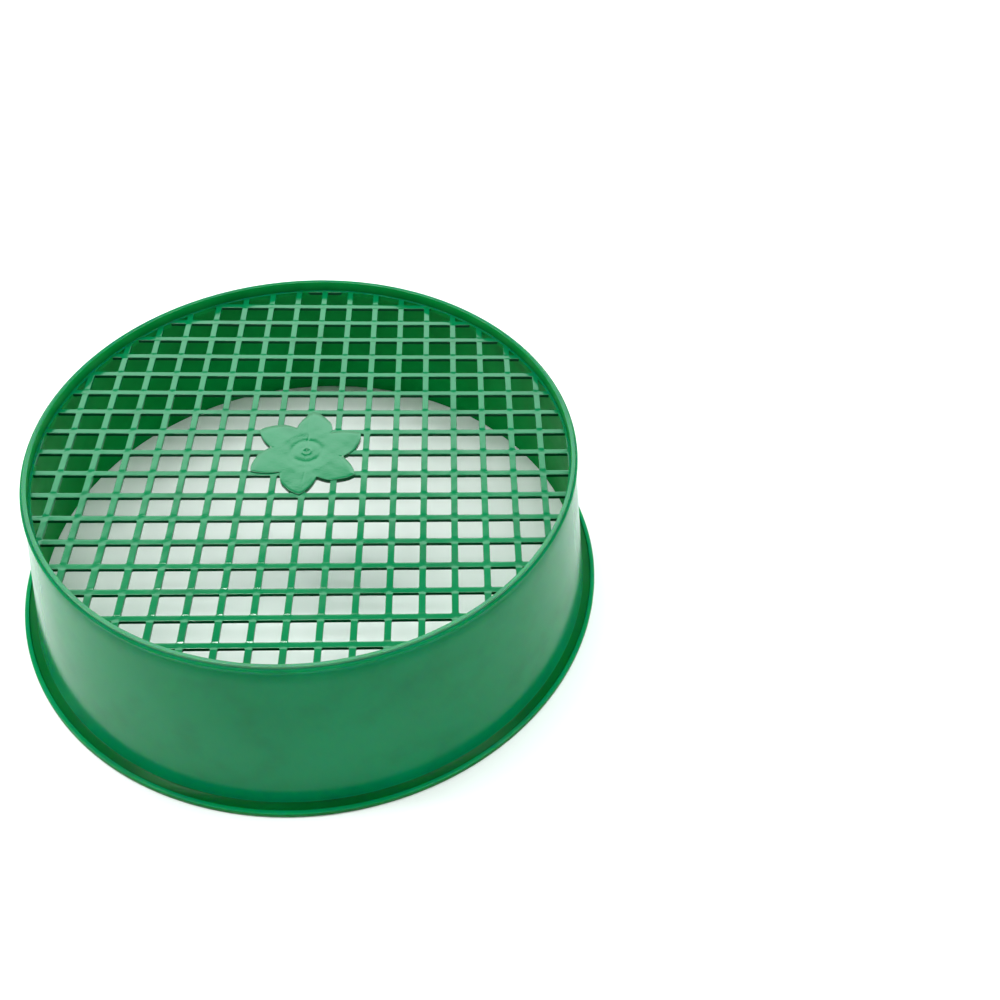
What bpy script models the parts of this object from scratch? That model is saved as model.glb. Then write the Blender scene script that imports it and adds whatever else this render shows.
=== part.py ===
"""Round garden soil sieve, standing upside down on its open end with the mesh on top.

The real sieve is one injection moulding. Its features are modelled as separate solids, each
a hair's breadth from its neighbours: the tapered side wall, the lip round the mesh, the
ledge that carries the bars, the square mesh, the flower plate in its middle, and the flange
and bead round the open end. Metres, +Z up, origin on the axis at floor level.
"""

import math

import bmesh
import bpy

# Overall size
HEIGHT = 0.1010
FLANGE_RADIUS = 0.1693
CLEARANCE = 0.0003
ROUND_STEPS = 64
MERGE_DISTANCE = 0.00001
SHARP_ANGLE = math.radians(30.0)

# Mesh
PITCH = 0.0165
BARS_EACH_SIDE_OF_CENTRE = 8
BAR_WIDTH = 0.0035
BAR_DEPTH = 0.0025
LIP_ABOVE_MESH = 0.0073
MESH_TOP = HEIGHT - LIP_ABOVE_MESH
MESH_BOTTOM = MESH_TOP - BAR_DEPTH

# Side wall, a cone that widens towards the open end
WALL_THICKNESS = 0.0022
WALL_RIM_RADIUS = 0.1511
WALL_BASE_RADIUS = 0.1620
WALL_TOP = 0.0950
WALL_FOOT = 0.0030
FOOT_FLARE_HEIGHT = 0.0028
FOOT_FLARE_REACH = 0.0013

# Lip round the mesh, with a stepped top and a small outward bead
LIP_INNER_RADIUS = 0.14885
LIP_FLAT_RADIUS = 0.1502
LIP_STEP_RADIUS = 0.1505
LIP_STEP_DROP = 0.0008
LIP_BEAD_RADIUS = 0.1518
LIP_BEAD_DROP = 0.0014
LIP_BEAD_DEPTH = 0.0006

# Ledge between the wall and the mesh
LEDGE_INNER_RADIUS = 0.1472
LEDGE_OUTER_RADIUS = 0.1487

# Flower plate in the middle of the mesh
PETALS = 6
PETAL_TIP_RADIUS = 1.96 * PITCH
PETAL_NOTCH_RADIUS = 1.27 * PITCH
FIRST_TIP_DEG = 28.0
NOTCH_AFTER_TIP_DEG = 22.0
BULGE = ((-26.0, 1.62 * PITCH), (-8.0, 1.90 * PITCH))
FLOWER_CLEARANCE_FACTOR = 1.022
GATE_RADIUS = 0.0016
GATE_HEIGHT = 0.0008

# Flange and bead round the open end
FLANGE_THICKNESS = 0.0021
FLANGE_INNER_RADIUS = 0.1602
FLANGE_STEP_RADIUS = 0.1650
BEAD_WIDTH = 0.0018
BEAD_HEIGHT = 0.0027
BEAD_CORNER = 0.0006

GREEN = (0.010, 0.225, 0.065, 1.0)
ROUGHNESS = 0.28


def clear_scene():
    """Removes every object of the open scene."""
    for thing in list(bpy.data.objects):
        bpy.data.objects.remove(thing, do_unlink=True)


def new_collection(name):
    """A new collection, linked to the scene."""
    collection = bpy.data.collections.new(name)
    bpy.context.scene.collection.children.link(collection)
    return collection


clear_scene()
parts = new_collection("soil_sieve")
cutters = new_collection("cutters")


def green_plastic(name):
    """Glossy green polypropylene, one material for each part."""
    material = bpy.data.materials.new(name + "_plastic")
    material.use_nodes = True
    shader = material.node_tree.nodes["Principled BSDF"]
    shader.inputs["Base Color"].default_value = GREEN
    shader.inputs["Roughness"].default_value = ROUGHNESS
    shader.inputs["Metallic"].default_value = 0.0
    return material


def add_part(name, mesh):
    """Places a mesh in the sieve's collection as a named part with its own material."""
    part = bpy.data.objects.new(name, mesh)
    mesh.materials.clear()
    mesh.materials.append(green_plastic(name))
    parts.objects.link(part)
    return part


def add_cutter(name, shape):
    """Places a mesh or curve in the cutters' collection, out of the render."""
    cutter = bpy.data.objects.new(name, shape)
    cutter.hide_render = True
    cutter.display_type = "WIRE"
    cutters.objects.link(cutter)
    return cutter


def mesh_of(name, bm):
    """Turns a bmesh into a mesh and frees it."""
    mesh = bpy.data.meshes.new(name)
    bm.to_mesh(mesh)
    bm.free()
    return mesh


def evaluated_mesh(guide):
    """The mesh that a guide object's curve or modifiers make, after which the guide goes."""
    evaluated = guide.evaluated_get(bpy.context.evaluated_depsgraph_get())
    mesh = bpy.data.meshes.new_from_object(evaluated)
    bpy.data.objects.remove(guide, do_unlink=True)
    return mesh


def turned_part(name, profile):
    """A ring turned round Z from a closed profile that runs down its outer side first."""
    bm = bmesh.new()
    corners = [bm.verts.new((radius, 0.0, height)) for radius, height in profile]
    for corner, following in zip(corners, corners[1:] + corners[:1]):
        bm.edges.new((corner, following))
    guide = add_cutter(name + "_profile", mesh_of(name + "_profile", bm))
    screw = guide.modifiers.new("turn", "SCREW")
    screw.steps = ROUND_STEPS
    screw.render_steps = ROUND_STEPS
    screw.use_merge_vertices = True
    screw.merge_threshold = MERGE_DISTANCE
    part = add_part(name, evaluated_mesh(guide))
    part.data.shade_smooth()
    part.data.set_sharp_from_angle(angle=SHARP_ANGLE)
    return part


def outline_prism(name, outline, low, high):
    """A flat closed outline, extruded between two heights, as a mesh."""
    curve = bpy.data.curves.new(name + "_outline", "CURVE")
    curve.dimensions = "2D"
    curve.fill_mode = "BOTH"
    curve.extrude = (high - low) / 2
    spline = curve.splines.new("POLY")
    spline.points.add(len(outline) - 1)
    for point, (x, y) in zip(spline.points, outline):
        point.co = (x, y, 0.0, 1.0)
    spline.use_cyclic_u = True
    guide = add_cutter(name + "_guide", curve)
    bm = bmesh.new()
    bm.from_mesh(evaluated_mesh(guide))
    bmesh.ops.remove_doubles(bm, verts=bm.verts, dist=MERGE_DISTANCE)
    bmesh.ops.translate(bm, verts=bm.verts, vec=(0.0, 0.0, (high + low) / 2))
    bmesh.ops.recalc_face_normals(bm, faces=bm.faces)
    return mesh_of(name, bm)


def boolean(part, other, operation):
    """Cuts another object out of a part, or joins the two."""
    modifier = part.modifiers.new(other.name, "BOOLEAN")
    modifier.operation = operation
    modifier.object = other


def wall_radius(height):
    """Outer radius of the side wall's cone at a height."""
    share = (WALL_TOP - height) / (WALL_TOP - WALL_FOOT)
    return WALL_RIM_RADIUS + share * (WALL_BASE_RADIUS - WALL_RIM_RADIUS)


def side_wall():
    """The tapered drum, whose foot flares a little on the outside to meet the flange."""
    top = WALL_TOP - CLEARANCE / 2
    foot = WALL_FOOT + CLEARANCE / 2
    flare = foot + FOOT_FLARE_HEIGHT
    mid_flare = foot + FOOT_FLARE_HEIGHT / 3
    profile = [
        (wall_radius(top), top),
        (wall_radius(flare), flare),
        (wall_radius(mid_flare) + FOOT_FLARE_REACH / 3, mid_flare),
        (wall_radius(foot) + FOOT_FLARE_REACH, foot),
        (wall_radius(foot) - WALL_THICKNESS, foot),
        (wall_radius(top) - WALL_THICKNESS, top),
    ]
    return turned_part("side_wall", profile)


def mesh_lip():
    """The lip that stands above the mesh: a flat inner edge, a step and an outward bead."""
    foot = WALL_TOP + CLEARANCE / 2
    bead_top = HEIGHT - LIP_STEP_DROP
    bead_low = HEIGHT - LIP_BEAD_DROP - LIP_BEAD_DEPTH
    profile = [
        (LIP_FLAT_RADIUS, HEIGHT),
        (LIP_STEP_RADIUS, bead_top),
        (LIP_BEAD_RADIUS - LIP_BEAD_DEPTH, bead_top),
        (LIP_BEAD_RADIUS, HEIGHT - LIP_BEAD_DROP),
        (LIP_BEAD_RADIUS, bead_low),
        (wall_radius(bead_low) + CLEARANCE, bead_low - LIP_BEAD_DEPTH),
        (wall_radius(foot), foot),
        (LIP_INNER_RADIUS, foot),
        (LIP_INNER_RADIUS, HEIGHT),
    ]
    return turned_part("mesh_lip", profile)


def mesh_ledge():
    """The narrow ledge on the inside of the wall that the bars run into."""
    profile = [
        (LEDGE_OUTER_RADIUS, MESH_TOP),
        (LEDGE_OUTER_RADIUS, MESH_BOTTOM),
        (LEDGE_INNER_RADIUS, MESH_BOTTOM),
        (LEDGE_INNER_RADIUS, MESH_TOP),
    ]
    return turned_part("mesh_ledge", profile)


def petal(tip_deg):
    """Points of one petal, from its bulged side over the tip to the notch after it."""
    shape = [*BULGE, (0.0, PETAL_TIP_RADIUS), (NOTCH_AFTER_TIP_DEG, PETAL_NOTCH_RADIUS)]
    points = []
    for offset, radius in shape:
        angle = math.radians(tip_deg + offset)
        points.append((radius * math.cos(angle), radius * math.sin(angle)))
    return points


def flower_outline(factor):
    """The whole six-petalled outline, enlarged by a factor."""
    points = []
    for index in range(PETALS):
        points += petal(FIRST_TIP_DEG + index * 360.0 / PETALS)
    return [(factor * x, factor * y) for x, y in points]


def hole_cutter():
    """Every square hole of the mesh as a prism that is taller than the bars."""
    side = PITCH - BAR_WIDTH
    reach = BARS_EACH_SIDE_OF_CENTRE + 1
    middle = (MESH_TOP + MESH_BOTTOM) / 2
    bm = bmesh.new()
    for column in range(-reach, reach):
        for row in range(-reach, reach):
            x = (column + 0.5) * PITCH
            y = (row + 0.5) * PITCH
            nearest = math.hypot(abs(x) - side / 2, abs(y) - side / 2)
            if nearest > LEDGE_INNER_RADIUS - CLEARANCE:
                continue
            cube = bmesh.ops.create_cube(bm, size=1.0)
            bmesh.ops.scale(bm, verts=cube["verts"], vec=(side, side, 3 * BAR_DEPTH))
            bmesh.ops.translate(bm, verts=cube["verts"], vec=(x, y, middle))
    return add_cutter("hole_cutter", mesh_of("hole_cutter", bm))


def sieve_mesh():
    """The square mesh: a disc with its holes and the flower's place cut out of it."""
    bm = bmesh.new()
    disc = bmesh.ops.create_cone(
        bm,
        cap_ends=True,
        segments=ROUND_STEPS,
        radius1=LEDGE_INNER_RADIUS - CLEARANCE,
        radius2=LEDGE_INNER_RADIUS - CLEARANCE,
        depth=BAR_DEPTH,
    )
    middle = (MESH_TOP + MESH_BOTTOM) / 2
    bmesh.ops.translate(bm, verts=disc["verts"], vec=(0.0, 0.0, middle))
    part = add_part("sieve_mesh", mesh_of("sieve_mesh", bm))
    boolean(part, hole_cutter(), "DIFFERENCE")
    outline = flower_outline(FLOWER_CLEARANCE_FACTOR)
    low = MESH_BOTTOM - BAR_DEPTH
    high = MESH_TOP + BAR_DEPTH
    place = outline_prism("flower_cutter", outline, low, high)
    boolean(part, add_cutter("flower_cutter", place), "DIFFERENCE")
    return part


def centre_flower():
    """The flower plate, with the stub of the moulding's gate in its middle."""
    plate = outline_prism("centre_flower", flower_outline(1.0), MESH_BOTTOM, MESH_TOP)
    part = add_part("centre_flower", plate)
    bm = bmesh.new()
    gate = bmesh.ops.create_cone(
        bm,
        cap_ends=True,
        segments=12,
        radius1=GATE_RADIUS,
        radius2=GATE_RADIUS * 0.7,
        depth=2 * GATE_HEIGHT,
    )
    bmesh.ops.translate(bm, verts=gate["verts"], vec=(0.0, 0.0, MESH_TOP))
    boolean(part, add_cutter("gate_stub", mesh_of("gate_stub", bm)), "UNION")
    return part


def open_end_flange():
    """The flat flange that turns outwards at the open end and rests on the floor."""
    top = WALL_FOOT - CLEARANCE / 2
    outer = FLANGE_RADIUS - BEAD_WIDTH - CLEARANCE
    profile = [
        (WALL_BASE_RADIUS + FOOT_FLARE_REACH, top),
        (FLANGE_STEP_RADIUS, FLANGE_THICKNESS),
        (outer, FLANGE_THICKNESS),
        (outer, 0.0),
        (FLANGE_INNER_RADIUS, 0.0),
        (FLANGE_INNER_RADIUS, top),
    ]
    return turned_part("open_end_flange", profile)


def flange_bead():
    """The rounded bead that stiffens the flange's outer edge."""
    inner = FLANGE_RADIUS - BEAD_WIDTH
    profile = [
        (FLANGE_RADIUS - BEAD_CORNER, BEAD_HEIGHT),
        (FLANGE_RADIUS, BEAD_HEIGHT - BEAD_CORNER),
        (FLANGE_RADIUS, BEAD_CORNER),
        (FLANGE_RADIUS - BEAD_CORNER, 0.0),
        (inner, 0.0),
        (inner, BEAD_HEIGHT - BEAD_CORNER),
        (inner + BEAD_CORNER, BEAD_HEIGHT),
    ]
    return turned_part("flange_bead", profile)


side_wall()
mesh_lip()
mesh_ledge()
sieve_mesh()
centre_flower()
open_end_flange()
flange_bead()
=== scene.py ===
"""Looks of a green plastic soil sieve that stands upside down on its open end.

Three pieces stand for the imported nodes: the turned drum with its lip, ledge and flange, the
square mesh, and the flower plate in its middle. Metres, +Z up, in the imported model's frame.
"""

import math

import bmesh
import bpy
import numpy as np
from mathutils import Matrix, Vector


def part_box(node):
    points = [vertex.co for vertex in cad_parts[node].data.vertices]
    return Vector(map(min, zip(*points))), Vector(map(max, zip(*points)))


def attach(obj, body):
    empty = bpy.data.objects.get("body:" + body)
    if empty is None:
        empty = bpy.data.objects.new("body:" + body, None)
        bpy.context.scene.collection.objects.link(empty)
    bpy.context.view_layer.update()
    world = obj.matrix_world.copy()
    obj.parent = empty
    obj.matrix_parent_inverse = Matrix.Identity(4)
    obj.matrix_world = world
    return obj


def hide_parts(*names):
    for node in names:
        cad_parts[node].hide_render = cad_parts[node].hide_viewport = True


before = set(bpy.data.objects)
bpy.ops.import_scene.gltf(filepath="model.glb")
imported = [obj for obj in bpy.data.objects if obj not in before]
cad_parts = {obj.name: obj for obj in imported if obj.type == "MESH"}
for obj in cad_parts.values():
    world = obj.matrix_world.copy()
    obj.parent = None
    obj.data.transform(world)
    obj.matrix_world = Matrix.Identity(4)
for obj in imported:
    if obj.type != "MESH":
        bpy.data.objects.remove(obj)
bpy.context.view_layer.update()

MM = 0.001

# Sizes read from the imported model
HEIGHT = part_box("mesh_lip")[1][2]
MESH_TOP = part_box("sieve_mesh")[1][2]
MESH_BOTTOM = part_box("sieve_mesh")[0][2]
FLANGE_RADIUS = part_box("flange_bead")[1][0]
LIP_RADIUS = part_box("mesh_lip")[1][0]
LEDGE_WIDTH = 1.5 * MM
LEDGE_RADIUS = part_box("mesh_ledge")[1][0] - LEDGE_WIDTH
WALL_FLARE = 1.3 * MM
WALL_FOOT_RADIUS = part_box("side_wall")[1][0] - WALL_FLARE

# How outlines are divided, and how sharp an edge has to be to stay crisp
ARC_STEP = math.radians(12.0)
SMALLEST_TURN = 1e-4
FILLET_SHARE = 0.49
LONGEST_RUN = 3.0 * MM
EDGE_ROUND = 0.30 * MM
EDGE_STEPS = 4
SHARP_DEGREES = 40.0
WELD_DISTANCE = 0.01 * MM

# Turned drum; its inside, which gets the painted glow and painted shade, is what lies above a
# height, with normals whose Z stays below a share
LATHE_STEPS = 360
DRUM_SHARP_DEGREES = 60.0
WALL_WAVE = 0.07 * MM
INSIDE_STARTS = 0.5 * MM
UPRIGHT_BELOW = 0.5

# Mesh
PITCH = 16.5 * MM
HOLE = 13.0 * MM
BARS_EACH_SIDE = 8
CELL_MARGIN = 1.0 * MM
HOLE_CORNER = 0.7 * MM
HOLE_DRAFT = 0.12 * MM
CROSS_BAR_DROP = 0.14 * MM
RAMP_START = 2.25 * MM
RAMP_LENGTH = 0.7 * MM
BACK_EDGE_FALL = 0.04 * MM
BACK_EDGE_WIDTH = 0.9 * MM
CROSSING_SINK = 0.06 * MM
CROSSING_WIDTH = 1.4 * MM
MESH_RIPPLE = 0.05 * MM
MESH_SAG = 0.6 * MM

# Points along half a hole's side, as tangents of their angles, and loops across half a bar
SIDE_STOPS = (0.0, 0.35, 0.62, 0.70, 0.76, 0.82, 0.90, 0.95, 1.0)
BAR_STOPS = (0.8, 0.6, 0.4, 0.2)

# Prism that trims the mesh at the ledge and round the flower
TRIM_STEPS = 192
TRIM_INTO_LEDGE = 0.7 * MM
TRIM_INSIDE_FLOWER = 0.6 * MM
TRIM_HALF_DEPTH = 4.0 * MM
TRIM_DROP = 1.0 * MM

# Flower plate; each petal's corners are (degrees from its tip, radius, fillet)
PETALS = 6
FIRST_TIP = math.radians(28.0)
PETAL_CORNERS = (
    (-38.0, 1.27 * PITCH, 0.8 * MM),
    (-26.0, 1.62 * PITCH, 9.0 * MM),
    (-8.0, 1.92 * PITCH, 6.0 * MM),
    (0.0, 2.02 * PITCH, 0.7 * MM),
)
FLOWER_STEPS = 432
FLOWER_PROUD = 0.45 * MM
FLOWER_DRAFT = 0.05 * MM
FLOWER_BEVEL = 0.20 * MM
GATE_RINGS = np.linspace(0.25, 3.0, 12) * MM
PLATE_RINGS = np.linspace(3.6, 18.0, 32) * MM
PETAL_RINGS = 8

# Relief of the flower plate, from its middle out
PIT_DEPTH = 0.20 * MM
PIT_RADIUS = 1.3 * MM
COLLAR_HEIGHT = 0.09 * MM
COLLAR_RADIUS = 2.3 * MM
COLLAR_WIDTH = 0.6 * MM
GROOVE_DEPTH = 0.08 * MM
GROOVE_RADIUS = 0.50 * PITCH
GROOVE_WIDTH = 0.10 * PITCH
DISH_DEPTH = 0.04 * MM
DISH_RADIUS = 0.83 * PITCH
DISH_FADE = 0.04 * PITCH
PETAL_WARP = 0.05 * MM
WARP_STARTS = 0.9 * PITCH
WARP_RUN = 0.9 * PITCH
PILLOW_DROP = 0.50 * MM
PILLOW_WIDTH = 3.4 * MM
BLOTCH_HEIGHT = 0.014 * MM
KNIT_DEPTH_BACK = 0.07 * MM
KNIT_DEPTH_FRONT = 0.04 * MM
KNIT_WIDTH = 0.45 * MM
KNIT_WANDER = 0.4 * MM
KNIT_WAVE = 3.0 * MM
KNIT_STARTS = 2.5 * MM

# Pale room, as radiance; the window fades in between two values of a direction's Y and of its
# Z, and the ceiling between two values of its Z
ROOM_LIGHT = 1.2
WINDOW_LIGHT = 2.9
WINDOW_TINT = (0.80, 1.12, 1.0, 1.0)
WINDOW_SIDES = (0.30, 0.65)
WINDOW_RISES = (0.43, 0.62)
CEILING_LIGHT = 0.05
CEILING_STARTS = (0.705, 0.735)

# Softboxes, in metres and watts
STRIP_PLACE = (-0.45, 0.14, 1.45)
STRIP_TARGET = (-0.45, 0.0, MESH_TOP)
STRIP_SIZE = (3.0, 0.35)
STRIP_POWER = 38.0
GLINT_AZIMUTH = math.radians(-35.0)
GLINT_ELEVATION = math.radians(70.5)
GLINT_DISTANCE = 2.0
GLINT_SIZE = (0.28, 0.20)
GLINT_POWER = 6.0

# Floor
FLOOR_HALF_SIZE = 6.0
FLOOR_COLOUR = (0.87, 0.92, 0.905, 1.0)
FLOOR_ROUGH = 0.6
FLOOR_GLOSS = 0.2

# Camera; lens and sensor in millimetres, shifts as shares of the picture's width, angles in degrees
CAMERA_PLACE = (0.0745, -0.4955, 0.5828)
CAMERA_ANGLES = (48.72, -2.27, -2.35)
CAMERA_LENS = 44.3
CAMERA_SENSOR = 36.0
CAMERA_SHIFT = (-0.010, -0.120)
CAMERA_CLIP = 0.01

PLASTIC_IOR = 1.49

# Light passes through the plastic, green the furthest; red, green and blue in millimetres
GLOW_REACH = (0.05, 3.0, 0.2)
DRUM_GLOW = 0.8

# Colours between which the plastic clouds, in linear red, green and blue, and roughnesses
OUTSIDE_GREEN = ((0.0, 0.147, 0.051), (0.0, 0.172, 0.061))
# The inside's greener, less blue colours are painted glow: light that passes through the wall, put
# into the base colour
INSIDE_PAINTED_GLOW_GREEN = ((0.0, 0.230, 0.036), (0.0, 0.270, 0.052))
MESH_GREEN = ((0.0, 0.129, 0.042), (0.0, 0.148, 0.048))
OUTSIDE_ROUGH = (0.14, 0.21)
INSIDE_ROUGH = (0.30, 0.38)
MESH_ROUGH = (0.11, 0.16)

# Noises as (scale, detail), and the part of each noise's range over which it works
CLOUD_NOISE = (18.0, 4.0)
CLOUD_RANGE = (0.3, 0.7)
SMUDGE_NOISE = (45.0, 3.0)
SMUDGE_RANGE = (0.50, 0.72)
SMUDGE_SHADE = 0.88
SMUDGE_ROUGH = 0.05
GRAIN_NOISE = (900.0, 3.0)
GRAIN_STRENGTH = 0.12
GRAIN_HEIGHT = 0.2 * MM

# Sides of the bars and of the flower: painted shade darkens a face as far as it looks to front or
# back, and how far it looks up or down makes it glossy
SIDE_PAINTED_SHADE = 0.4
SIDE_GLOSS = 0.04
LOOKS_ALONG_Y = (0.35, 0.90)
LOOKS_ALONG_Z = (0.10, 0.65)
MESH_GLOSS = 0.60
FLOWER_GLOSS = 0.80

# How glossy the drum is, and its painted shade, painted highlight and blue, as (height, value) from
# the foot up
DRUM_GLOSS = (
    (2.3 * MM, 0.08),
    (2.6 * MM, 0.12),
    (HEIGHT - 13 * MM, 0.12),
    (HEIGHT - 6 * MM, 0.03),
    (HEIGHT - 1.2 * MM, 0.05),
    (HEIGHT - 0.6 * MM, 0.60),
)
# Painted shade in the flange's recess and under the lip's bead; a painted highlight on the flange's
# bead, and painted light fading up the wall's foot just above it
DRUM_PAINTED_SHADE_AND_HIGHLIGHT = (
    (2.3 * MM, 0.74),
    (2.6 * MM, 1.45),
    (2.8 * MM, 1.45),
    (3.2 * MM, 1.12),
    (12 * MM, 1.0),
    (HEIGHT - 13 * MM, 1.0),
    (HEIGHT - 6 * MM, 0.92),
    (HEIGHT - 3.2 * MM, 0.92),
    (HEIGHT - 2.6 * MM, 1.0),
)
# Painted shade: the flange's recess below 2.3 mm loses half its blue, as greener shade
DRUM_PAINTED_SHADE_BLUE = ((2.3 * MM, 0.50), (2.6 * MM, 1.0))
# Painted shade inside, darkest at the mesh's top, fading down the ledge and up the lip's inner face
INSIDE_PAINTED_SHADE = ((MESH_BOTTOM, 1.0), (MESH_TOP, 0.45), (HEIGHT - 1.0 * MM, 1.0))
INSIDE_GLOSS = ((0.0, 0.005), (HEIGHT, 0.03))
INSIDE_BLUE = ((0.0, 1.0),)


# ------------------------------------------------------------------ shared shapes


def rounded(corners):
    """Points of a closed outline whose corners (x, y, radius) are replaced by arcs."""
    count = len(corners)
    points = []
    for index in range(count):
        x, y, radius = corners[index]
        here = np.array((x, y))
        before = np.array(corners[index - 1][:2]) - here
        after = np.array(corners[(index + 1) % count][:2]) - here
        room = FILLET_SHARE * min(np.linalg.norm(before), np.linalg.norm(after))
        before = before / np.linalg.norm(before)
        after = after / np.linalg.norm(after)
        opening = math.acos(float(np.clip(before @ after, -1.0, 1.0)))
        turn = math.pi - opening
        if radius == 0.0 or turn < SMALLEST_TURN:
            points.append(tuple(here))
            continue
        back = min(radius * math.tan(turn / 2), room)
        radius = back / math.tan(turn / 2)
        middle = before + after
        middle = middle / np.linalg.norm(middle)
        centre = here + middle * radius / math.sin(opening / 2)
        points += arc(centre, here + before * back, here + after * back)
    return points


def arc(centre, start, end):
    """Points along the shorter arc round a centre from one point to another."""
    radius = math.dist(centre, start)
    first = math.atan2(start[1] - centre[1], start[0] - centre[0])
    sweep = math.atan2(end[1] - centre[1], end[0] - centre[0]) - first
    sweep = (sweep + math.pi) % (2 * math.pi) - math.pi
    steps = max(2, math.ceil(abs(sweep) / ARC_STEP))
    points = []
    for step in range(steps + 1):
        angle = first + sweep * step / steps
        spot = centre + radius * np.array((math.cos(angle), math.sin(angle)))
        points.append(tuple(spot))
    return points


def rounded_edge():
    """Steps over a rounded edge from its flat top to its side, as (inset, drop)."""
    steps = []
    for step in range(EDGE_STEPS + 1):
        angle = step / EDGE_STEPS * math.pi / 2
        steps.append((EDGE_ROUND * (1 - math.sin(angle)), EDGE_ROUND * (1 - math.cos(angle))))
    return steps


def smooth_step(value):
    """A share that rises smoothly from 0 to 1 as the value does."""
    share = np.clip(value, 0.0, 1.0)
    return share * share * (3 - 2 * share)


def bell(value, width):
    """1 where the value is 0, falling smoothly to nothing on both sides."""
    return np.exp(-((value / width) ** 2))


def full_circle(steps):
    """Evenly spaced angles round a circle."""
    return np.arange(steps) * 2 * math.pi / steps


def add_piece(name, verts, faces, sharp_degrees=SHARP_DEGREES):
    """A smooth-shaded piece whose edges sharper than an angle stay crisp."""
    mesh = bpy.data.meshes.new(name)
    mesh.from_pydata([tuple(map(float, v)) for v in verts], [], faces)
    mesh.update()
    mesh.shade_smooth()
    mesh.set_sharp_from_angle(angle=math.radians(sharp_degrees))
    piece = bpy.data.objects.new(name, mesh)
    bpy.context.scene.collection.objects.link(piece)
    return piece


# ------------------------------------------------------------------ drum


def drum_corners():
    """The drum's section as (radius, height, fillet), from the lip down the outside and up."""
    foot = WALL_FOOT_RADIUS
    edge = FLANGE_RADIUS
    bead = LIP_RADIUS
    ledge = LEDGE_RADIUS
    return [
        (ledge + 1.00 * MM, HEIGHT - 0.30 * MM, 0.30 * MM),
        (bead - 1.55 * MM, HEIGHT, 0.35 * MM),
        (bead - 1.20 * MM, HEIGHT - 1.30 * MM, 0.25 * MM),
        (bead - 0.35 * MM, HEIGHT - 1.30 * MM, 0.45 * MM),
        (bead + 0.10 * MM, HEIGHT - 2.10 * MM, 0.50 * MM),
        (bead - 0.30 * MM, HEIGHT - 3.00 * MM, 0.60 * MM),
        (bead - 1.05 * MM, HEIGHT - 4.60 * MM, 3.00 * MM),
        (bead - 0.60 * MM, HEIGHT - 8.50 * MM, 12.0 * MM),
        (foot + 0.20 * MM, 2.20 * MM, 0.60 * MM),
        (edge - 2.75 * MM, 1.85 * MM, 0.30 * MM),
        (edge - 2.40 * MM, 2.70 * MM, 0.45 * MM),
        (edge, 2.70 * MM, 0.75 * MM),
        (edge, 0.0, 0.30 * MM),
        (foot - 1.80 * MM, 0.0, 0.50 * MM),
        (foot - 2.30 * MM, 6.00 * MM, 4.00 * MM),
        (ledge + 1.85 * MM, MESH_BOTTOM - 1.5 * MM, 0.80 * MM),
        (ledge, MESH_BOTTOM, 0.30 * MM),
        (ledge, MESH_TOP, 0.35 * MM),
        (ledge + 1.35 * MM, MESH_TOP, 0.50 * MM),
    ]


def wall_wave(angle, height):
    """How far the moulded wall wanders from a true cone, in metres."""
    share = np.clip(height / HEIGHT, 0.0, 1.0)
    free = np.sin(np.pi * np.clip(share, 0.05, 0.95)) ** 0.5
    slow = np.sin(3 * angle + 0.7 + 0.6 * share) + 0.6 * np.sin(5 * angle + 2.1 - share)
    fine = 0.35 * np.sin(11 * angle + 4 * share) + 0.2 * np.sin(23 * angle - 5 * share + 1.0)
    return WALL_WAVE * free * (slow + fine)


def fine_profile(points):
    """The same closed outline with its long straight runs divided."""
    fine = []
    for start, end in zip(points, points[1:] + points[:1]):
        pieces = max(1, math.ceil(math.dist(start, end) / LONGEST_RUN))
        for share in np.arange(pieces) / pieces:
            radius = start[0] + share * (end[0] - start[0])
            height = start[1] + share * (end[1] - start[1])
            fine.append((radius, height))
    return fine


def lathe(profile, steps):
    """Vertices and faces of a closed section turned round Z, its outside listed downwards."""
    section = np.array(profile)
    verts = []
    for angle in full_circle(steps):
        radius = section[:, 0] + wall_wave(angle, section[:, 1])
        ring = np.column_stack((radius * np.cos(angle), radius * np.sin(angle), section[:, 1]))
        verts.append(ring)
    count = len(section)
    faces = []
    for step in range(steps):
        here = step * count
        there = ((step + 1) % steps) * count
        for index in range(count):
            following = (index + 1) % count
            faces.append((here + index, here + following, there + following, there + index))
    return np.vstack(verts), faces


def make_drum():
    """Wall, lip, ledge and flange in one turned piece."""
    profile = fine_profile(rounded(drum_corners()))
    verts, faces = lathe(profile, LATHE_STEPS)
    return add_piece("sieve_drum", verts, faces, DRUM_SHARP_DEGREES)


def polygon_vectors(mesh, name):
    """A vector that every polygon has, as its x, y and z in three arrays."""
    values = np.empty(3 * len(mesh.polygons))
    mesh.polygons.foreach_get(name, values)
    return values.reshape(-1, 3).T


def mark_painted_glow_inside(drum):
    """Gives the upright faces of the wall and lip that look inwards the second material: painted
    glow and shade.
    """
    x, y, z = polygon_vectors(drum.data, "center")
    normal_x, normal_y, normal_z = polygon_vectors(drum.data, "normal")
    inward = (x * normal_x + y * normal_y < 0) & (np.hypot(x, y) < WALL_FOOT_RADIUS)
    inside = inward & (z > INSIDE_STARTS) & (np.abs(normal_z) < UPRIGHT_BELOW)
    drum.data.polygons.foreach_set("material_index", inside.astype(np.int32))


# ------------------------------------------------------------------ mesh


def loop_angles():
    """Angles at which every loop round a hole has a point."""
    stops = [math.atan(stop) for stop in SIDE_STOPS]
    octant = stops[:-1]
    angles = []
    for quarter in range(4):
        middle = quarter * math.pi / 2
        angles += [middle - angle for angle in reversed(stops[1:])]
        angles += [middle + angle for angle in octant]
    return np.array(angles)


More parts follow.
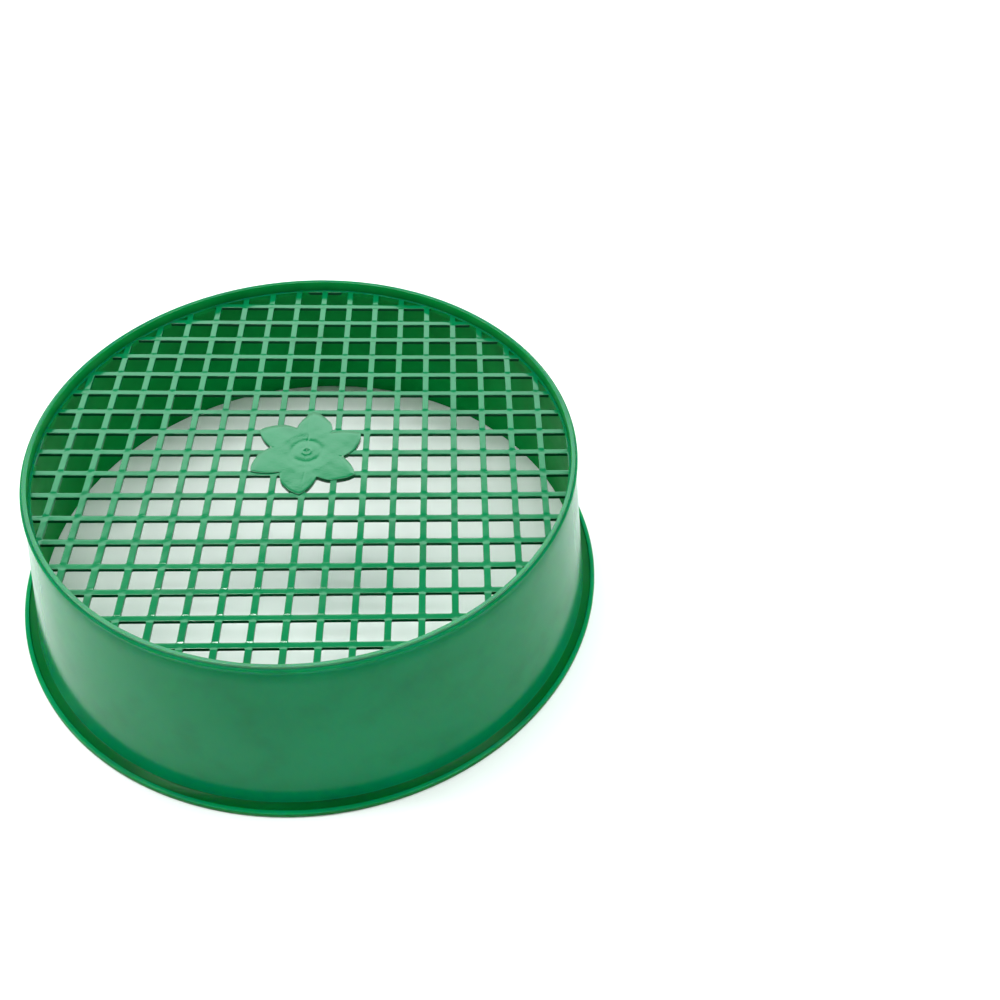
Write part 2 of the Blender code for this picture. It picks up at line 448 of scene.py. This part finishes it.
def square_reach(angles, half, corner):
    """Distance from a rounded square's centre to its side at each angle."""
    turned = (angles + math.pi / 4) % (math.pi / 2) - math.pi / 4
    across = np.abs(turned)
    flat = half / np.cos(across)
    inset = half - corner
    along = inset * (np.cos(across) + np.sin(across))
    under = np.maximum(along ** 2 - 2 * inset ** 2 + corner ** 2, 0.0)
    curved = along + np.sqrt(under)
    return np.where(half * np.tan(across) <= inset, flat, curved)


def hole_loops():
    """Loops round one hole from the bars' middles down its side, as (half, corner, drop)."""
    half = HOLE / 2
    deep = MESH_TOP - MESH_BOTTOM
    top = [(PITCH / 2, 0.0, 0.0)]
    for share in BAR_STOPS:
        reach = half + EDGE_ROUND + share * (PITCH / 2 - half - EDGE_ROUND)
        top.append((reach, HOLE_CORNER + EDGE_ROUND, 0.0))
    rounding = [(half + inset, HOLE_CORNER + inset, drop) for inset, drop in rounded_edge()]
    side = [
        (half + 0.5 * HOLE_DRAFT, HOLE_CORNER, deep * 0.5),
        (half + HOLE_DRAFT, HOLE_CORNER, deep - 0.5 * EDGE_ROUND),
        (half + HOLE_DRAFT + 0.5 * EDGE_ROUND, HOLE_CORNER, deep),
    ]
    bottom = [(PITCH / 2, 0.0, deep)]
    return top + rounding + side + bottom


def sag(radius):
    """How far the mesh hangs below its edge at a radius."""
    return MESH_SAG * (1 - np.clip(radius / LEDGE_RADIUS, 0.0, 1.0) ** 2)


def top_relief(x, y):
    """How far the mesh's upper surface lies below its highest level at a place."""
    across_column = (x + PITCH / 2) % PITCH - PITCH / 2
    across_row = (y + PITCH / 2) % PITCH - PITCH / 2
    bar_half = (PITCH - HOLE) / 2
    on_column = np.abs(across_column) < bar_half
    ramp = np.clip((RAMP_START - np.abs(across_row)) / RAMP_LENGTH, 0.0, 1.0)
    lower_bar = CROSS_BAR_DROP * ramp
    past_middle = across_row - (bar_half - BACK_EDGE_WIDTH)
    back_edge = BACK_EDGE_FALL * smooth_step(past_middle / BACK_EDGE_WIDTH)
    back_edge = np.where(on_column | (across_row > bar_half), 0.0, back_edge)
    sink = CROSSING_SINK * bell(np.hypot(across_column, across_row), CROSSING_WIDTH)
    ripple = np.sin(410 * x + 1.3) * np.sin(365 * y + 0.4) + 0.6 * np.sin(950 * x - 700 * y)
    return lower_bar + back_edge + sink + MESH_RIPPLE * (1 + 0.5 * ripple)


def cell_centres():
    """Centres of the holes that any of the mesh's disc reaches into."""
    centres = []
    for column in range(-BARS_EACH_SIDE - 1, BARS_EACH_SIDE + 1):
        for row in range(-BARS_EACH_SIDE - 1, BARS_EACH_SIDE + 1):
            x = (column + 0.5) * PITCH
            y = (row + 0.5) * PITCH
            nearest = math.hypot(abs(x) - PITCH / 2, abs(y) - PITCH / 2)
            if nearest < LEDGE_RADIUS + CELL_MARGIN:
                centres.append((x, y))
    return centres


def tiled_mesh():
    """Vertices and faces of the bars round every hole, before the rim is trimmed."""
    angles = loop_angles()
    count = len(angles)
    loops = hole_loops()
    deepest = MESH_TOP - MESH_BOTTOM
    verts = []
    faces = []
    for centre_x, centre_y in cell_centres():
        base = len(verts)
        for half, corner, drop in loops:
            reach = square_reach(angles, half, corner)
            x = centre_x + reach * np.cos(angles)
            y = centre_y + reach * np.sin(angles)
            relief = top_relief(x, y) * (1 - drop / deepest) ** 2
            z = MESH_TOP - drop - relief - sag(np.hypot(x, y))
            verts += zip(x, y, z)
        for level in range(len(loops) - 1):
            for index in range(count):
                following = (index + 1) % count
                here = base + level * count
                there = here + count
                faces.append((here + index, here + following, there + following, there + index))
    return verts, faces


def make_mesh():
    """The square mesh, trimmed to the ledge and open where the flower sits."""
    verts, faces = tiled_mesh()
    piece = add_piece("sieve_grid", verts, faces)
    bm = bmesh.new()
    bm.from_mesh(piece.data)
    bmesh.ops.remove_doubles(bm, verts=bm.verts, dist=WELD_DISTANCE)
    bm.to_mesh(piece.data)
    bm.free()
    trim = trimming_prism()
    boolean = piece.modifiers.new("trim", "BOOLEAN")
    boolean.operation = "INTERSECT"
    boolean.object = trim
    mesh = evaluated_mesh(piece)
    piece.modifiers.clear()
    piece.data = mesh
    bpy.data.objects.remove(trim, do_unlink=True)
    mesh.shade_smooth()
    mesh.set_sharp_from_angle(angle=math.radians(SHARP_DEGREES))
    return piece


def evaluated_mesh(piece):
    """An object's mesh with its modifiers or its curve's depth worked out."""
    depsgraph = bpy.context.evaluated_depsgraph_get()
    return bpy.data.meshes.new_from_object(piece.evaluated_get(depsgraph))


def trim_outlines():
    """The circle at the ledge and the flower's outline that bound the mesh, as points."""
    turns = full_circle(TRIM_STEPS)
    radius = LEDGE_RADIUS + TRIM_INTO_LEDGE
    circle = np.column_stack((radius * np.cos(turns), radius * np.sin(turns)))
    angles = full_circle(FLOWER_STEPS)
    reach = flower_reach(angles) - TRIM_INSIDE_FLOWER
    flower = np.column_stack((reach * np.cos(angles), reach * np.sin(angles)))
    return circle, flower


def trimming_prism():
    """A disc as wide as the ledge's middle, with the flower's outline cut out of it."""
    curve = bpy.data.curves.new("mesh_trim", "CURVE")
    curve.dimensions = "2D"
    curve.fill_mode = "BOTH"
    curve.extrude = TRIM_HALF_DEPTH
    for outline in trim_outlines():
        spline = curve.splines.new("POLY")
        spline.points.add(len(outline) - 1)
        for point, (x, y) in zip(spline.points, outline):
            point.co = (x, y, 0.0, 1.0)
        spline.use_cyclic_u = True
    guide = bpy.data.objects.new("mesh_trim_curve", curve)
    bpy.context.scene.collection.objects.link(guide)
    mesh = evaluated_mesh(guide)
    bm = bmesh.new()
    bm.from_mesh(mesh)
    bmesh.ops.remove_doubles(bm, verts=bm.verts, dist=WELD_DISTANCE)
    bmesh.ops.translate(bm, verts=bm.verts, vec=(0.0, 0.0, MESH_TOP - TRIM_DROP))
    bmesh.ops.recalc_face_normals(bm, faces=bm.faces)
    bm.to_mesh(mesh)
    bm.free()
    bpy.data.objects.remove(guide, do_unlink=True)
    prism = bpy.data.objects.new("mesh_trim", mesh)
    bpy.context.scene.collection.objects.link(prism)
    return prism


# ------------------------------------------------------------------ flower


def flower_reach(angles):
    """Distance from the flower's centre to its outline at each angle."""
    corners = []
    for petal in range(PETALS):
        tip = FIRST_TIP + petal * 2 * math.pi / PETALS
        for offset, radius, fillet in PETAL_CORNERS:
            angle = tip + math.radians(offset)
            corners.append((radius * math.cos(angle), radius * math.sin(angle), fillet))
    outline = np.array(rounded(corners))
    turned = np.arctan2(outline[:, 1], outline[:, 0]) % (2 * math.pi)
    order = np.argsort(turned)
    turned = turned[order]
    reach = np.hypot(outline[:, 0], outline[:, 1])[order]
    return np.interp(angles % (2 * math.pi), turned, reach, period=2 * math.pi)


def plate_relief(radius, angle, outline):
    """Height of the flower plate's surface above its flat, in metres, at a place."""
    dish = -DISH_DEPTH / (1 + np.exp((radius - DISH_RADIUS) / DISH_FADE))
    groove = -GROOVE_DEPTH * bell(radius - GROOVE_RADIUS, GROOVE_WIDTH)
    petal_share = np.clip((radius - WARP_STARTS) / WARP_RUN, 0.0, 1.0)
    warp = PETAL_WARP * petal_share * np.sin(PETALS * (angle - FIRST_TIP) + 1.1)
    return dish + groove + warp + pillow(radius, angle, outline) + blotch(radius, angle)


def pillow(radius, angle, outline):
    """How the petals' edges fall away where they face backwards."""
    to_edge = np.clip(1 - (outline - radius) / PILLOW_WIDTH, 0.0, 1.0)
    slope = np.gradient(outline, angle)
    facing_back = (outline * np.sin(angle) - slope * np.cos(angle)) / np.hypot(outline, slope)
    return -PILLOW_DROP * to_edge ** 2 * smooth_step(0.3 + 0.9 * facing_back)


def blotch(radius, angle):
    """The plate's faint uneven swells, a few millimetres across."""
    x = radius * np.cos(angle)
    y = radius * np.sin(angle)
    swell = np.sin(410 * x + 190 * y + 1.0) * np.sin(430 * y + 0.5)
    swell += 0.6 * np.sin(560 * x - 390 * y + 2.0) * np.sin(350 * y + 1.7)
    swell += 0.4 * np.sin(300 * x + 760 * y) * np.sin(690 * x + 0.8)
    return BLOTCH_HEIGHT * swell


def knit_line(radius, angle):
    """A faint line up and down the plate, where two fronts of plastic met."""
    across = radius * np.cos(angle) + KNIT_WANDER * np.sin(radius / KNIT_WAVE)
    depth = np.where(np.sin(angle) > 0, KNIT_DEPTH_BACK, KNIT_DEPTH_FRONT)
    outside_gate = np.clip(radius / KNIT_STARTS - 1, 0.0, 1.0)
    return -depth * outside_gate * bell(across, KNIT_WIDTH)


def gate_relief(radius):
    """The crater and the small raised ring where the plastic was fed in."""
    pit = -PIT_DEPTH * np.exp(-((radius / PIT_RADIUS) ** 4))
    collar = COLLAR_HEIGHT * bell(radius - COLLAR_RADIUS, COLLAR_WIDTH)
    return pit + collar


def flower_levels(angles, outline):
    """Rings of the flower plate as (radii, heights), over its top, down its side and under."""
    flat = outline - EDGE_ROUND
    last = PLATE_RINGS[-1]
    rings = [np.full(FLOWER_STEPS, radius) for radius in (*GATE_RINGS, *PLATE_RINGS)]
    for step in range(1, PETAL_RINGS + 1):
        rings.append(last + step / PETAL_RINGS * (flat - last))
    levels = []
    for ring in rings:
        height = MESH_TOP + FLOWER_PROUD - sag(ring) + plate_relief(ring, angles, outline)
        levels.append((ring, height + knit_line(ring, angles) + gate_relief(ring)))
    edge = levels[-1][1]
    for inset, drop in rounded_edge()[1:]:
        levels.append((outline - inset, edge - drop))
    foot = np.full(FLOWER_STEPS, MESH_BOTTOM - MESH_SAG)
    levels.append((outline - FLOWER_DRAFT, foot + FLOWER_BEVEL))
    levels.append((outline - FLOWER_DRAFT - FLOWER_BEVEL, foot))
    levels.append((0.5 * outline, foot))
    return levels


def make_flower():
    """The six-petalled plate with its moulded rings, standing a little proud of the bars."""
    angles = full_circle(FLOWER_STEPS)
    levels = flower_levels(angles, flower_reach(angles))
    verts = [(0.0, 0.0, float(levels[0][1].mean()))]
    for ring, heights in levels:
        verts += zip(ring * np.cos(angles), ring * np.sin(angles), heights)
    verts.append((0.0, 0.0, float(levels[-1][1][0])))
    bottom = len(verts) - 1
    end = bottom - FLOWER_STEPS
    faces = []
    for index in range(FLOWER_STEPS):
        following = (index + 1) % FLOWER_STEPS
        faces.append((0, 1 + index, 1 + following))
        for level in range(len(levels) - 1):
            here = 1 + level * FLOWER_STEPS
            there = here + FLOWER_STEPS
            faces.append((here + index, there + index, there + following, here + following))
        faces.append((end + index, bottom, end + following))
    return add_piece("flower_plate", verts, faces)


# ------------------------------------------------------------------ nodes


def spread(tree, value, source, target):
    """A value mapped from one range to another and kept inside it."""
    node = tree.nodes.new("ShaderNodeMapRange")
    node.inputs["From Min"].default_value = source[0]
    node.inputs["From Max"].default_value = source[1]
    node.inputs["To Min"].default_value = target[0]
    node.inputs["To Max"].default_value = target[1]
    tree.links.new(value, node.inputs["Value"])
    return node.outputs["Result"]


def smooth_share(tree, value, ends):
    """A share that rises smoothly from 0 at the first end to 1 at the second."""
    node = tree.nodes.new("ShaderNodeMapRange")
    node.interpolation_type = "SMOOTHSTEP"
    node.inputs["From Min"].default_value = ends[0]
    node.inputs["From Max"].default_value = ends[1]
    tree.links.new(value, node.inputs["Value"])
    return node.outputs["Result"]


def arithmetic(tree, operation, first, second=0.0):
    """One Math node; each input is a socket or a number."""
    node = tree.nodes.new("ShaderNodeMath")
    node.operation = operation
    for socket, value in zip(node.inputs, (first, second)):
        if isinstance(value, (int, float)):
            socket.default_value = value
        else:
            tree.links.new(value, socket)
    return node.outputs["Value"]


def noise(tree, place, scale, detail):
    """The strength of one noise texture that is fixed to the piece."""
    texture = tree.nodes.new("ShaderNodeTexNoise")
    texture.inputs["Scale"].default_value = scale
    texture.inputs["Detail"].default_value = detail
    tree.links.new(place, texture.inputs["Vector"])
    return texture.outputs["Fac"]


def parts_of(tree, vector):
    """A vector's X, Y and Z sockets, by name."""
    split = tree.nodes.new("ShaderNodeSeparateXYZ")
    tree.links.new(vector, split.inputs["Vector"])
    return split.outputs


def by_height(tree, place, levels):
    """A value that changes evenly with the height between (height, value) pairs."""
    height = parts_of(tree, place)["Z"]
    total = levels[0][1]
    for (low, before), (high, after) in zip(levels, levels[1:]):
        if after != before:
            step = spread(tree, height, (low, high), (0.0, after - before))
            total = arithmetic(tree, "ADD", step, total)
    return total


# ------------------------------------------------------------------ plastic


def new_material(name):
    """An empty node material, as the material, its node tree and its object coordinates."""
    material = bpy.data.materials.new(name)
    material.use_nodes = True
    tree = material.node_tree
    place = tree.nodes.new("ShaderNodeTexCoord").outputs["Object"]
    return material, tree, place


def clouded_green(tree, cloud, colours, shade, blue):
    """A green that drifts between two colours, darkened by smudges and painted shade, its blue by a
    further share.
    """
    ramp = tree.nodes.new("ShaderNodeValToRGB")
    for element, position, colour in zip(ramp.color_ramp.elements, CLOUD_RANGE, colours):
        element.position = position
        element.color = (*colour, 1.0)
    tree.links.new(cloud, ramp.inputs["Fac"])
    strengths = tree.nodes.new("ShaderNodeCombineXYZ")
    tree.links.new(shade, strengths.inputs["Y"])
    tree.links.new(arithmetic(tree, "MULTIPLY", shade, blue), strengths.inputs["Z"])
    product = tree.nodes.new("ShaderNodeVectorMath")
    product.operation = "MULTIPLY"
    tree.links.new(ramp.outputs["Color"], product.inputs[0])
    tree.links.new(strengths.outputs["Vector"], product.inputs[1])
    return product.outputs["Vector"]


def grain_bump(tree, place):
    """The moulded surface's fine grain."""
    bump = tree.nodes.new("ShaderNodeBump")
    bump.inputs["Strength"].default_value = GRAIN_STRENGTH
    bump.inputs["Distance"].default_value = GRAIN_HEIGHT
    tree.links.new(noise(tree, place, *GRAIN_NOISE), bump.inputs["Height"])
    return bump.outputs["Normal"]


def green_plastic(tree, place, colours, rough, glow, gloss, shade, blue):
    """Green polypropylene with moulding clouds, fine grain, smudged, rubbed patches and the painted
    shade it is given.
    """
    cloud = noise(tree, place, *CLOUD_NOISE)
    smudge = noise(tree, place, *SMUDGE_NOISE)
    smudged = spread(tree, smudge, SMUDGE_RANGE, (1.0, SMUDGE_SHADE))
    shade = arithmetic(tree, "MULTIPLY", smudged, shade)
    clean_rough = spread(tree, cloud, CLOUD_RANGE, rough)
    rubbed_rough = spread(tree, smudge, SMUDGE_RANGE, (0.0, SMUDGE_ROUGH))
    shader = tree.nodes["Principled BSDF"]
    shader.inputs["IOR"].default_value = PLASTIC_IOR
    shader.inputs["Subsurface Weight"].default_value = glow
    shader.inputs["Subsurface Radius"].default_value = GLOW_REACH
    shader.inputs["Subsurface Scale"].default_value = MM
    colour = clouded_green(tree, cloud, colours, shade, blue)
    tree.links.new(colour, shader.inputs["Base Color"])
    roughness = arithmetic(tree, "ADD", clean_rough, rubbed_rough)
    tree.links.new(roughness, shader.inputs["Roughness"])
    tree.links.new(gloss, shader.inputs["Specular IOR Level"])
    tree.links.new(grain_bump(tree, place), shader.inputs["Normal"])


def drum_plastic(name, colours, rough, glow, gloss_levels, painted_light_levels, shade_blue_levels):
    """The plastic of the drum, whose gloss, painted shade and highlight and share of blue change
    with the height.
    """
    material, tree, place = new_material(name)
    gloss = by_height(tree, place, gloss_levels)
    # Painted shade and highlight, and less blue in the painted shade, by height
    shade = by_height(tree, place, painted_light_levels)
    blue = by_height(tree, place, shade_blue_levels)
    green_plastic(tree, place, colours, rough, glow, gloss, shade, blue)
    return material


def bar_plastic(name, top_gloss):
    """The plastic of bars and flower: dull on upright sides, with painted shade on those to front
    and back.
    """
    material, tree, place = new_material(name)
    normal = parts_of(tree, tree.nodes.new("ShaderNodeNewGeometry").outputs["Normal"])
    along_y = arithmetic(tree, "ABSOLUTE", normal["Y"])
    along_z = arithmetic(tree, "ABSOLUTE", normal["Z"])
    # Painted shade on the faces that look to front or back
    shade = spread(tree, along_y, LOOKS_ALONG_Y, (1.0, SIDE_PAINTED_SHADE))
    gloss = spread(tree, along_z, LOOKS_ALONG_Z, (SIDE_GLOSS, top_gloss))
    green_plastic(tree, place, MESH_GREEN, MESH_ROUGH, 0.0, gloss, shade, 1.0)
    return material


def finish_piece(piece, materials, *nodes):
    """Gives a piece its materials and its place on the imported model."""
    piece.data.materials.clear()
    for material in materials:
        piece.data.materials.append(material)
    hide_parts(*nodes)
    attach(piece, "root")


# ------------------------------------------------------------------ studio


def floor():
    """A plain pale floor."""
    bm = bmesh.new()
    bmesh.ops.create_grid(bm, x_segments=8, y_segments=8, size=FLOOR_HALF_SIZE)
    mesh = bpy.data.meshes.new("studio_floor")
    bm.to_mesh(mesh)
    bm.free()
    plane = bpy.data.objects.new("studio_floor", mesh)
    bpy.context.scene.collection.objects.link(plane)
    material = bpy.data.materials.new("pale_floor")
    material.use_nodes = True
    shader = material.node_tree.nodes["Principled BSDF"]
    shader.inputs["Base Color"].default_value = FLOOR_COLOUR
    shader.inputs["Roughness"].default_value = FLOOR_ROUGH
    shader.inputs["Specular IOR Level"].default_value = FLOOR_GLOSS
    mesh.materials.append(material)


def window_tint(tree, window):
    """White, turning to the window's colour where the window is."""
    tint = tree.nodes.new("ShaderNodeMix")
    tint.data_type = "RGBA"
    plain, tinted = [socket for socket in tint.inputs if socket.type == "RGBA"]
    plain.default_value = (1.0, 1.0, 1.0, 1.0)
    tinted.default_value = WINDOW_TINT
    tree.links.new(window, tint.inputs["Factor"])
    return next(socket for socket in tint.outputs if socket.type == "RGBA")


def surroundings():
    """A pale room with a dim ceiling and a bright window on the far side of the sieve."""
    world = bpy.data.worlds.new("studio_world")
    bpy.context.scene.world = world
    world.use_nodes = True
    tree = world.node_tree
    direction = parts_of(tree, tree.nodes.new("ShaderNodeTexCoord").outputs["Generated"])
    between_sides = smooth_share(tree, direction["Y"], WINDOW_SIDES)
    above_sill = smooth_share(tree, direction["Z"], WINDOW_RISES)
    window = arithmetic(tree, "MULTIPLY", between_sides, above_sill)
    extra = arithmetic(tree, "MULTIPLY", window, WINDOW_LIGHT - ROOM_LIGHT)
    walls = arithmetic(tree, "ADD", extra, ROOM_LIGHT)
    ceiling = smooth_share(tree, direction["Z"], CEILING_STARTS)
    below_ceiling = arithmetic(tree, "SUBTRACT", 1.0, ceiling)
    lit_walls = arithmetic(tree, "MULTIPLY", below_ceiling, walls)
    total = arithmetic(tree, "ADD", lit_walls, CEILING_LIGHT)
    background = tree.nodes["Background"]
    tree.links.new(window_tint(tree, window), background.inputs["Color"])
    tree.links.new(total, background.inputs["Strength"])


def soft_light(name, place, target, size, power):
    """A rectangular softbox at a place, turned towards a target and hidden from the camera."""
    light = bpy.data.lights.new(name, "AREA")
    light.shape = "RECTANGLE"
    light.size = size[0]
    light.size_y = size[1]
    light.energy = power
    lamp = bpy.data.objects.new(name, light)
    lamp.location = place
    aim = np.array(target) - np.array(place)
    aim = aim / np.linalg.norm(aim)
    turn = math.atan2(-aim[0], aim[1])
    lamp.rotation_euler = (math.pi / 2 + math.asin(aim[2]), 0.0, turn)
    lamp.visible_camera = False
    bpy.context.scene.collection.objects.link(lamp)


def glint_light():
    """A small softbox beyond the sieve, which puts sparkles on the mesh's near edge."""
    out = GLINT_DISTANCE * math.cos(GLINT_ELEVATION)
    place = (
        out * math.sin(GLINT_AZIMUTH),
        out * math.cos(GLINT_AZIMUTH),
        MESH_TOP + GLINT_DISTANCE * math.sin(GLINT_ELEVATION),
    )
    soft_light("glint_softbox", place, (0.0, 0.0, MESH_TOP), GLINT_SIZE, GLINT_POWER)


def camera():
    """The camera, above and in front of the sieve."""
    data = bpy.data.cameras.new("camera")
    data.lens = CAMERA_LENS
    data.sensor_width = CAMERA_SENSOR
    data.shift_x, data.shift_y = CAMERA_SHIFT
    data.clip_start = CAMERA_CLIP
    eye = bpy.data.objects.new("camera", data)
    eye.location = CAMERA_PLACE
    eye.rotation_euler = [math.radians(angle) for angle in CAMERA_ANGLES]
    bpy.context.scene.collection.objects.link(eye)
    bpy.context.scene.camera = eye


camera()
floor()
surroundings()
soft_light("strip_softbox", STRIP_PLACE, STRIP_TARGET, STRIP_SIZE, STRIP_POWER)
glint_light()
bpy.context.scene.view_settings.view_transform = "Standard"

# The drum's outside plastic carries painted shade and highlight by height
drum_outside = drum_plastic("drum_plastic", OUTSIDE_GREEN, OUTSIDE_ROUGH, DRUM_GLOW,
                            DRUM_GLOSS, DRUM_PAINTED_SHADE_AND_HIGHLIGHT, DRUM_PAINTED_SHADE_BLUE)
# The inside's plastic is painted glow and painted shade
drum_inside_painted_glow = drum_plastic("inside_painted_glow_plastic", INSIDE_PAINTED_GLOW_GREEN, INSIDE_ROUGH, 0.0,
                           INSIDE_GLOSS, INSIDE_PAINTED_SHADE, INSIDE_BLUE)
mesh_plastic = bar_plastic("mesh_plastic", MESH_GLOSS)
flower_plastic = bar_plastic("flower_plastic", FLOWER_GLOSS)

drum = make_drum()
finish_piece(drum, (drum_outside, drum_inside_painted_glow), "side_wall", "mesh_lip", "mesh_ledge",
             "open_end_flange", "flange_bead")
mark_painted_glow_inside(drum)
finish_piece(make_mesh(), (mesh_plastic,), "sieve_mesh")
finish_piece(make_flower(), (flower_plastic,), "centre_flower")
